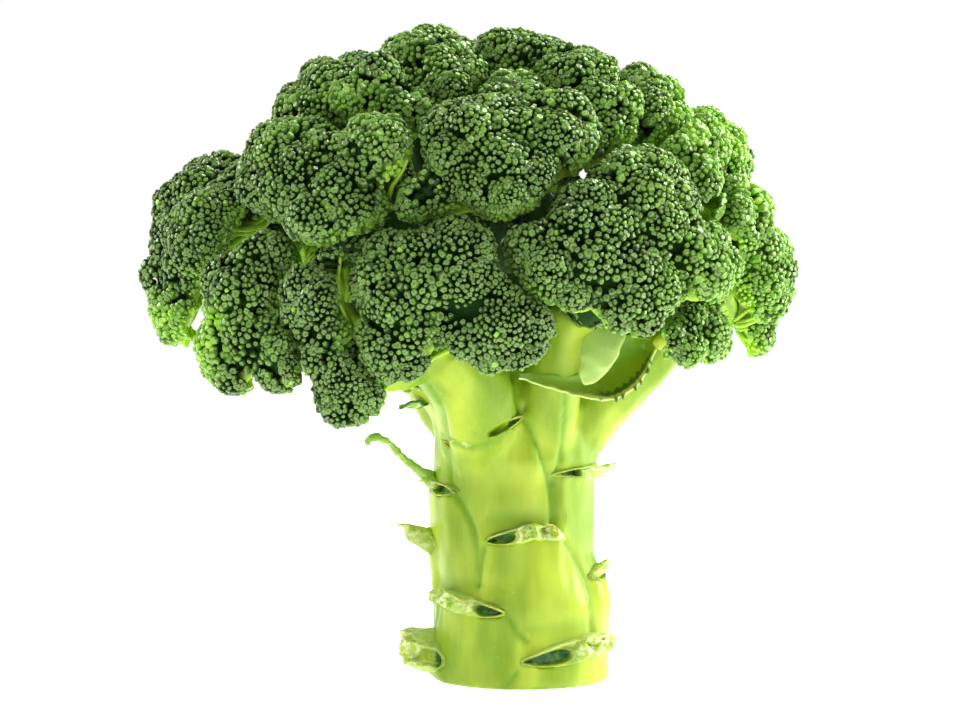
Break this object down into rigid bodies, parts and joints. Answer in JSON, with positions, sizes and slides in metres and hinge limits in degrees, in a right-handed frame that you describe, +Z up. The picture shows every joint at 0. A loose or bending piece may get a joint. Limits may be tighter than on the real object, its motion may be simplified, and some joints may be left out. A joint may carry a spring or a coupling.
{
  "type": "broccoli head",
  "caption": "Fresh broccoli head standing on its flat-cut stalk, with forking limbs, a domed crown of tight green florets and trimmed leaf stubs round the stalk.",
  "frame": {"origin": "centre of the flat cut face at the foot of the stalk", "axes": "+Z up along the stalk towards the crown, -Y towards the side with the curled leaf, +X towards the shorter side of the crown"},
  "size_m": [0.1654, 0.138, 0.1654],
  "materials": {
    "stalk_skin": "smooth waxy pale yellow-green skin",
    "floret_buds": "matte dark green closed buds with a paler bloom",
    "cut_leaf_base": "moist pale green torn flesh",
    "leaf_blade": "satin mid-green leaf"
  },
  "bodies": {
    "root": {"curled_leaf": "leaf_blade", "floret_back_centre": "floret_buds", "floret_back_left": "floret_buds", "floret_back_left_low": "floret_buds", "floret_back_left_mid": "floret_buds", "floret_back_right": "floret_buds", "floret_back_right_low": "floret_buds", "floret_back_right_mid": "floret_buds", "floret_back_top": "floret_buds", "floret_back_top_left": "floret_buds", "floret_back_upper_left": "floret_buds", "floret_back_upper_right": "floret_buds", "floret_centre": "floret_buds", "floret_far_left": "floret_buds", "floret_far_right": "floret_buds", "floret_front_centre": "floret_buds", "floret_front_left": "floret_buds", "floret_left_low": "floret_buds", "floret_left_mid": "floret_buds", "floret_right_centre": "floret_buds", "floret_right_low": "floret_buds", "floret_right_top": "floret_buds", "floret_top": "floret_buds", "floret_top_left": "floret_buds", "floret_top_mid_left": "floret_buds", "floret_top_right": "floret_buds", "leaf_scrap_lower": "leaf_blade", "leaf_scrap_upper": "leaf_blade", "leaf_stub_back_left": "cut_leaf_base", "leaf_stub_back_low": "cut_leaf_base", "leaf_stub_back_right": "cut_leaf_base", "leaf_stub_back_upper": "cut_leaf_base", "leaf_stub_base_left": "cut_leaf_base", "leaf_stub_base_right": "cut_leaf_base", "leaf_stub_centre": "cut_leaf_base", "leaf_stub_low_left": "cut_leaf_base", "leaf_stub_right": "cut_leaf_base", "leaf_stub_spur_left": "cut_leaf_base", "leaf_stub_upper_left": "cut_leaf_base", "leaf_stub_upper_right": "cut_leaf_base", "stalk": "stalk_skin", "stripped_leaf_rib": "cut_leaf_base"}
  },
  "joints": []
}
